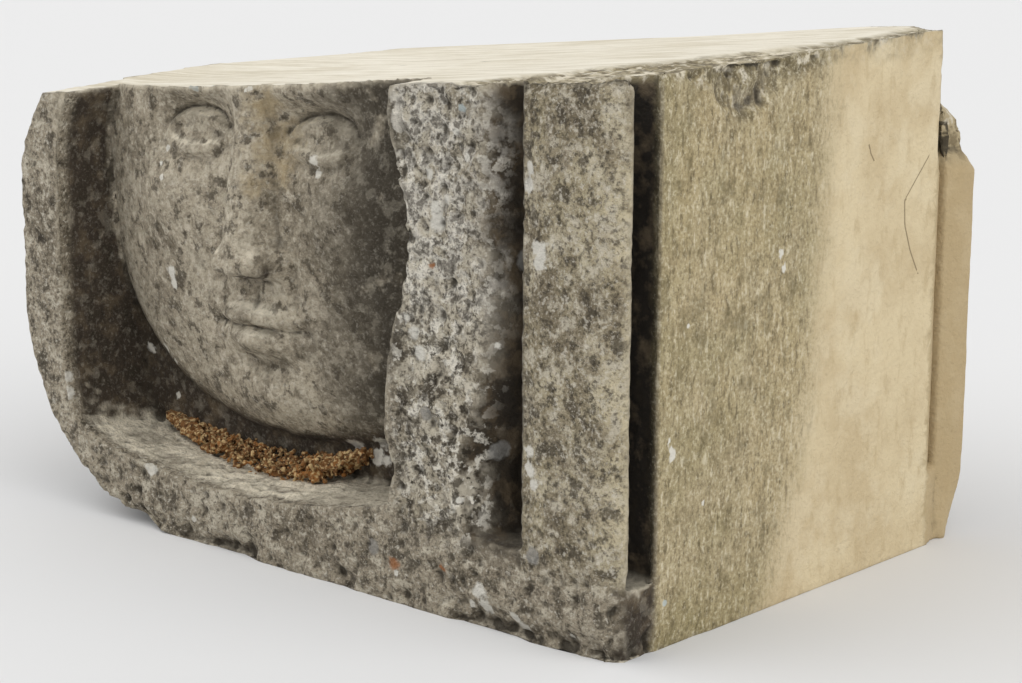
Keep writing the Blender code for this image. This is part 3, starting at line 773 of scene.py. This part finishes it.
# %% Helpers for materials
def linear(hex_colour):
    """An sRGB hex colour as linear red, green and blue with full alpha."""
    parts = np.array([int(hex_colour[i:i + 2], 16) for i in (1, 3, 5)]) / 255.0
    return (*np.where(parts <= 0.04045, parts / 12.92, ((parts + 0.055) / 1.055) ** 2.4), 1.0)


def add(tree, kind, inputs, **settings):
    """Add a node, set its properties, and give each input a value or link it to an output."""
    node = tree.nodes.new(kind)
    for key, value in settings.items():
        setattr(node, key, value)
    for key, value in inputs.items():
        if isinstance(value, bpy.types.NodeSocket):
            tree.links.new(value, node.inputs[key])
        else:
            node.inputs[key].default_value = value
    return node


def new_material(name):
    """A new material, its node tree and the inputs of its shader."""
    material = bpy.data.materials.new(name)
    material.use_nodes = True
    return material, material.node_tree, material.node_tree.nodes["Principled BSDF"].inputs


# %% The layers of weathered limestone
GROUND = "#a09581"
# Ground colours of the zones, each laid over the last
GROUNDS = [
    ("side", "#ab9c7a"), ("low_side", "#a0926c"), ("clean", "#d8c7a3"), ("back_roll", "#b5a07a"),
    ("rear", "#a99a7c"), ("left_end", "#857a66"), ("bed", "#e2dbca"), ("head", "#b2a792"),
    # Painted shade: the dark grounds of the sunk panel's walls and floor and of the fillet's flank toward
    # the quirk. Painted light: the pale ground of the panel's upward faces
    ("recess", "#382e23"), ("level", "#e8dec8"), ("strip", "#aba18c"), ("channel", "#2e2518"),
    # Painted shade: the near-black ground of the deep side quirk. Painted highlight: the pale ground along
    # the roll's rounded right edge
    ("deep", "#1a1309"), ("roll", "#a39779"), ("rim", "#cfc2a2"), ("broken", "#b0a181"),
    ("worn", "#988c6d"),
]
EVEN, UPRIGHT, SAWN = (1, 1, 1), (1, 1, 0.4), (0.06, 1, 1)
# Layers: zone, grain in mm, grain direction, from and to threshold, strength, colour
LAYERS = [
    ("open", 90, EVEN, 0.47, 0.62, 0.45, "#6b604d"),
    ("open", 30, EVEN, 0.52, 0.64, 0.55, "#544a39"),
    ("open", 30, EVEN, 0.47, 0.36, 0.55, "#b0a692"),
    # Mottling within the painted shade of the sunk panel's walls and floor
    ("recess", 14, EVEN, 0.50, 0.64, 0.60, "#6a5c47"),
    ("recess", 14, EVEN, 0.47, 0.36, 0.70, "#2c2416"),
    ("head", 13, EVEN, 0.52, 0.60, 0.40, "#5d5341"),
    ("head", 9, EVEN, 0.57, 0.61, 0.60, "#41382a"),
    ("head", 5, EVEN, 0.54, 0.64, 0.50, "#554b39"),
    ("head", 5, EVEN, 0.45, 0.36, 0.65, "#cdc3af"),
    ("shade", 24, EVEN, 0.26, 0.44, 0.95, "#2e271b"),
    # Mottling within the painted shade on the fillet's flank toward the quirk
    ("channel", 12, EVEN, 0.50, 0.60, 0.60, "#5b4d39"),
    ("channel", 12, EVEN, 0.47, 0.38, 0.60, "#1d160d"),
    # Mottling on the painted light of the panel's upward faces
    ("level", 20, EVEN, 0.50, 0.64, 0.40, "#a39c89"),
    ("stained", 60, EVEN, 0.46, 0.60, 0.45, "#8f855d"),
    ("stained", 40, UPRIGHT, 0.47, 0.36, 0.45, "#b9a67e"),
    ("stained", 7, UPRIGHT, 0.52, 0.66, 0.45, "#7b6e4f"),
    ("stained", 7, UPRIGHT, 0.47, 0.34, 0.40, "#c6b895"),
    ("clean", 70, EVEN, 0.45, 0.60, 0.60, "#bfaa84"),
    ("clean", 40, EVEN, 0.49, 0.38, 0.60, "#dccdac"),
    ("clean", 7, UPRIGHT, 0.54, 0.68, 0.35, "#b09a72"),
    ("bed", 90, EVEN, 0.45, 0.62, 0.60, "#cdc3ac"),
    ("bed", 5, SAWN, 0.50, 0.62, 0.50, "#b9ae95"),
    ("bed", 5, SAWN, 0.46, 0.36, 0.50, "#f0ebdd"),
    ("roll", 26, UPRIGHT, 0.48, 0.60, 0.60, "#665a47"),
    ("roll", 13, EVEN, 0.49, 0.38, 0.70, "#cbc0a5"),
    # Upright grain on the painted highlight along the roll's rounded edge
    ("rim", 9, UPRIGHT, 0.50, 0.62, 0.50, "#8d7f62"),
    ("strip", 22, EVEN, 0.46, 0.56, 0.80, "#cbc2af"),
    ("strip", 13, EVEN, 0.52, 0.58, 0.80, "#3b3224"),
    ("strip", 7, EVEN, 0.53, 0.58, 0.95, "#e4ded0"),
    ("strip", 5, EVEN, 0.46, 0.40, 0.90, "#2f2719"),
    ("crust", 9, EVEN, 0.46, 0.56, 0.85, "#e9e3d6"),
    ("broken", 9, EVEN, 0.51, 0.60, 0.70, "#6f6146"),
    ("broken", 9, EVEN, 0.46, 0.38, 0.60, "#dcd5c3"),
    ("worn", 30, EVEN, 0.45, 0.58, 0.65, "#766b50"),
    ("worn", 8, EVEN, 0.51, 0.58, 0.80, "#5f5541"),
    ("worn", 8, EVEN, 0.47, 0.39, 0.80, "#e0d7c3"),
    ("rear", 16, EVEN, 0.51, 0.62, 0.60, "#857656"),
    ("rear", 16, EVEN, 0.46, 0.36, 0.50, "#c4b798"),
    ("speckled", 9, EVEN, 0.54, 0.61, 0.75, "#40382a"),
    ("speckled", 9, EVEN, 0.46, 0.38, 0.75, "#c9c0ac"),
    ("speckled", 3, EVEN, 0.54, 0.64, 0.70, "#332b1d"),
    ("speckled", 3, EVEN, 0.43, 0.34, 0.60, "#dcd5c5"),
    ("speckled", 1.6, EVEN, 0.53, 0.65, 0.50, "#3b3324"),
    ("speckled", 1.6, EVEN, 0.45, 0.34, 0.45, "#d3cbb9"),
    ("stained", 3, UPRIGHT, 0.54, 0.66, 0.70, "#5d5238"),
    ("stained", 3, UPRIGHT, 0.43, 0.33, 0.60, "#ddd3b8"),
    ("stained", 1.6, EVEN, 0.53, 0.65, 0.55, "#655a3e"),
    ("stained", 1.6, EVEN, 0.46, 0.35, 0.50, "#d9cfb2"),
    ("stained", 14, EVEN, 0.56, 0.66, 0.55, "#6f6445"),
]
# Growths: attribute, ragged edge as a share of the radius, softness, strength, colour
EDGES = [("ochre", 1.2, 1.0, 0.60, "#a8936a"), ("orange", 0.9, 0.5, 0.80, "#9c5f2c"),
         ("grey", 0.35, 0.25, 0.70, "#8d8b86"), ("blue", 0.8, 0.4, 0.80, "#b5c0c0"),
         ("white", 0.9, 0.35, 0.92, "#dcd8cd")]
# What the bend of the mesh and the cracks colour: from and to threshold, strength, zone, colour
# Painted shade in the hollows and creases, where the mesh bends inwards
HOLLOW_SHADE = (0.494, 0.450, 0.85, None, "#2a2317")
# Pale sharp edges on the front, where the mesh bends outwards: partly wear, partly painted highlight
WORN_AND_LIT_RIMS = (0.520, 0.580, 0.45, "front", "#b8ae99")
CRACK = (0.8 * MM, 0.3 * MM, 0.7, "side", "#5f4e33")
# Grit: bump in mm on the speckled front, and the share of it that the smooth faces keep
GRIT_MM, SMOOTH_SHARE = 4.0, 0.3
MATT_ROUGHNESS = 0.92


def weathered_limestone():
    """Ground colours, layers, growths, then painted shade in hollows and pale rims from the bend of the
    mesh, the rims partly wear and partly painted highlight.
    """
    material, tree, surface = new_material("weathered_limestone")
    place = add(tree, "ShaderNodeTexCoord", {}).outputs["Object"]
    used = {row[0] for row in (*GROUNDS, *LAYERS, *EDGES)} | {*cracks, "side", "front", "speckled"}
    share = {name: add(tree, "ShaderNodeAttribute", {}, attribute_name=name).outputs["Fac"]
             for name in sorted(used)}
    # One noise for each grain and direction, shared by the layers that ask for it
    noise = {}
    for grain, direction in sorted({row[1:3] for row in LAYERS} | {(3, EVEN), (9, EVEN)}):
        along = add(tree, "ShaderNodeMapping", {"Vector": place, "Scale": direction}).outputs[0]
        inputs = {"Vector": along, "Scale": 1000 / grain, "Detail": 4.0, "Roughness": 0.62}
        noise[grain, direction] = add(tree, "ShaderNodeTexNoise", inputs).outputs[0]
    tone = linear(GROUND)
    for name, colour in GROUNDS:
        inputs = {0: share[name], 6: tone, 7: linear(colour)}
        tone = add(tree, "ShaderNodeMix", inputs, data_type="RGBA").outputs[2]
    # Every other layer is a value cut to a mask between two thresholds, and held to a zone or to none
    cuts = [(noise[grain, direction], start, end, strength, name, colour)
            for name, grain, direction, start, end, strength, colour in LAYERS]
    for name, ragged, soft, strength, colour in EDGES:
        inputs = {0: noise[9, EVEN], 1: 3 * ragged, 2: share[name]}
        torn = add(tree, "ShaderNodeMath", inputs, operation="MULTIPLY_ADD").outputs[0]
        middle = 1.0 + 1.5 * ragged
        cuts.append((torn, middle, middle - soft, strength, None, colour))
    for name in cracks:
        off = add(tree, "ShaderNodeMath", {0: share[name]}, operation="ABSOLUTE").outputs[0]
        cuts.append((off, *CRACK))
    bend = add(tree, "ShaderNodeNewGeometry", {}).outputs["Pointiness"]
    cuts += [(bend, *HOLLOW_SHADE), (bend, *WORN_AND_LIT_RIMS)]
    for value, start, end, strength, name, colour in cuts:
        mask = add(tree, "ShaderNodeMapRange", {0: value, 1: start, 2: end, 4: strength}).outputs[0]
        if name:
            mask = add(tree, "ShaderNodeMath", {0: mask, 1: share[name]}, operation="MULTIPLY").outputs[0]
        tone = add(tree, "ShaderNodeMix", {0: mask, 6: tone, 7: linear(colour)}, data_type="RGBA").outputs[2]
    tree.links.new(tone, surface["Base Color"])
    surface["Roughness"].default_value = MATT_ROUGHNESS
    grit = add(tree, "ShaderNodeMath", {0: noise[3, EVEN], 1: noise[9, EVEN]}, operation="ADD").outputs[0]
    inputs = {0: share["speckled"], 1: 1 - SMOOTH_SHARE, 2: SMOOTH_SHARE}
    weight = add(tree, "ShaderNodeMath", inputs, operation="MULTIPLY_ADD").outputs[0]
    grit = add(tree, "ShaderNodeMath", {0: grit, 1: weight}, operation="MULTIPLY").outputs[0]
    inputs = {"Height": grit, "Strength": 1.0, "Distance": GRIT_MM * MM}
    tree.links.new(add(tree, "ShaderNodeBump", inputs).outputs[0], surface["Normal"])
    return material


stone.data.materials.append(weathered_limestone())
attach(stone, "root")
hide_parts("corbel_stone")

# %% [markdown]
# Moss grows where rain lies: in the corner between the chin and the ledge. It is a crust of little
# cushions, so it is made as a crowd of small balls along that corner, melted into one skin by a
# voxel remesh. Dry moss is rust brown with paler tips, and wholly matt.

# %% Moss in the corner under the chin
# Along the corner: mm from the near corner to the right, mm behind it, mm up, and cushion size
MOSS_RUN = np.array([
    (-374, 53, 49, 3), (-352, 51, 45, 7), (-328, 49, 42, 10), (-300, 46, 40, 12), (-269, 45, 39, 13),
    (-245, 46, 41, 13), (-230, 50, 46, 10), (-214, 54, 53, 6)]) * MM
CUSHIONS, LEAST_BALL, MOST_BALL, MELT = 2200, 0.7 * MM, 1.8 * MM, 0.7 * MM
# How far cushions stray from the corner along each axis, and the patches that stay bare
STRAY, PATCH, BARE_BELOW = (0.6, 1.0, 0.5), 14 * MM, -0.45


def crowd_of_balls(centres, radii):
    """One mesh of as many small icospheres as there are centres, made by array steps."""
    ball = bmesh.new()
    bmesh.ops.create_icosphere(ball, subdivisions=1, radius=1.0)
    shape = np.array([v.co[:] for v in ball.verts])
    faces = np.array([[v.index for v in f.verts] for f in ball.faces])
    ball.free()
    points = centres[:, None, :] + shape[None] * radii[:, None, None]
    shifts = np.arange(len(centres))[:, None, None] * len(shape)
    mesh = bpy.data.meshes.new("moss")
    mesh.from_pydata(points.reshape(-1, 3).tolist(), [], (faces[None] + shifts).reshape(-1, 3).tolist())
    return mesh


chance = np.random.default_rng(7)
place = np.linspace(0, len(MOSS_RUN) - 1, CUSHIONS)
run = np.stack([np.interp(place, np.arange(len(MOSS_RUN)), MOSS_RUN[:, axis]) for axis in range(4)], axis=1)
spread = chance.uniform(-1, 1, (CUSHIONS, 3)) * run[:, 3:] * STRAY
patchy = hills(run[:, :3], PATCH, seed=61) > BARE_BELOW
centres = (run[:, :3] + spread + (RIGHT, FRONT, BASE))[patchy]
radii = chance.uniform(LEAST_BALL, MOST_BALL, len(centres))
moss = bpy.data.objects.new("dry_moss", crowd_of_balls(centres, radii))
bpy.context.scene.collection.objects.link(moss)
applied(moss, "REMESH", mode="VOXEL", voxel_size=MELT)
moss.data.shade_smooth()

# Layers of the moss: grain in mm, from and to threshold, strength and colour
MOSS_GROUND = "#7a5530"
MOSS_LAYERS = [(9, 0.48, 0.60, 0.8, "#a06c38"), (3, 0.54, 0.62, 0.8, "#2f1b0a"),
               (2, 0.50, 0.60, 0.9, "#c8ad7e")]


def dry_moss():
    """Rust brown with redder cushions, dark gaps and pale tips, from noises of a few millimetres."""
    material, tree, surface = new_material("dry_moss")
    place = add(tree, "ShaderNodeTexCoord", {}).outputs["Object"]
    tone = linear(MOSS_GROUND)
    for grain, start, end, strength, colour in MOSS_LAYERS:
        inputs = {"Vector": place, "Scale": 1000 / grain, "Detail": 3.0}
        cloud = add(tree, "ShaderNodeTexNoise", inputs).outputs[0]
        mask = add(tree, "ShaderNodeMapRange", {0: cloud, 1: start, 2: end, 4: strength}).outputs[0]
        tone = add(tree, "ShaderNodeMix", {0: mask, 6: tone, 7: linear(colour)}, data_type="RGBA").outputs[2]
    tree.links.new(tone, surface["Base Color"])
    surface["Roughness"].default_value = 1.0
    return material


moss.data.materials.append(dry_moss())
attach(moss, "root")
print("moss:", len(centres), "cushions,", len(moss.data.polygons), "faces")

# %% [markdown]
# A pale floor that runs out of sight, and soft light from large lamps: the photograph has no hard
# shadow, only a thin dark line where stone meets floor.

# %% Floor and light
FLOOR_SIZE, PAPER, PAPER_ROUGHNESS, SKY_STRENGTH = 40.0, "#dfdfdf", 0.9, 0.66
bpy.ops.mesh.primitive_plane_add(size=FLOOR_SIZE, location=(0.0, 0.0, 0.0))
floor = bpy.context.object
floor.name = "studio_floor"
paper, _, surface = new_material("pale_studio_paper")
surface["Base Color"].default_value = linear(PAPER)
surface["Roughness"].default_value = PAPER_ROUGHNESS
floor.data.materials.append(paper)

world = bpy.data.worlds.new("studio")
world.use_nodes = True
sky = world.node_tree.nodes["Background"].inputs
sky["Color"].default_value, sky["Strength"].default_value = (1.0, 1.0, 1.0, 1.0), SKY_STRENGTH
bpy.context.scene.world = world

# Lamps far off and so wide that their shadows have no edge: from where, width in degrees, strength
LAMPS = {
    "left_softbox": ((-0.62, -0.50, 0.80), 60.0, 1.04),
    "right_softbox": ((0.85, -0.15, 0.80), 70.0, 1.15),
}
for name, (direction, width, strength) in LAMPS.items():
    lamp = bpy.data.objects.new(name, bpy.data.lights.new(name, "SUN"))
    lamp.data.angle, lamp.data.energy = radians(width), strength
    lamp.matrix_world = Vector(direction).to_track_quat("Z", "Y").to_matrix().to_4x4()
    bpy.context.scene.collection.objects.link(lamp)
bpy.context.scene.view_settings.view_transform = "Standard"
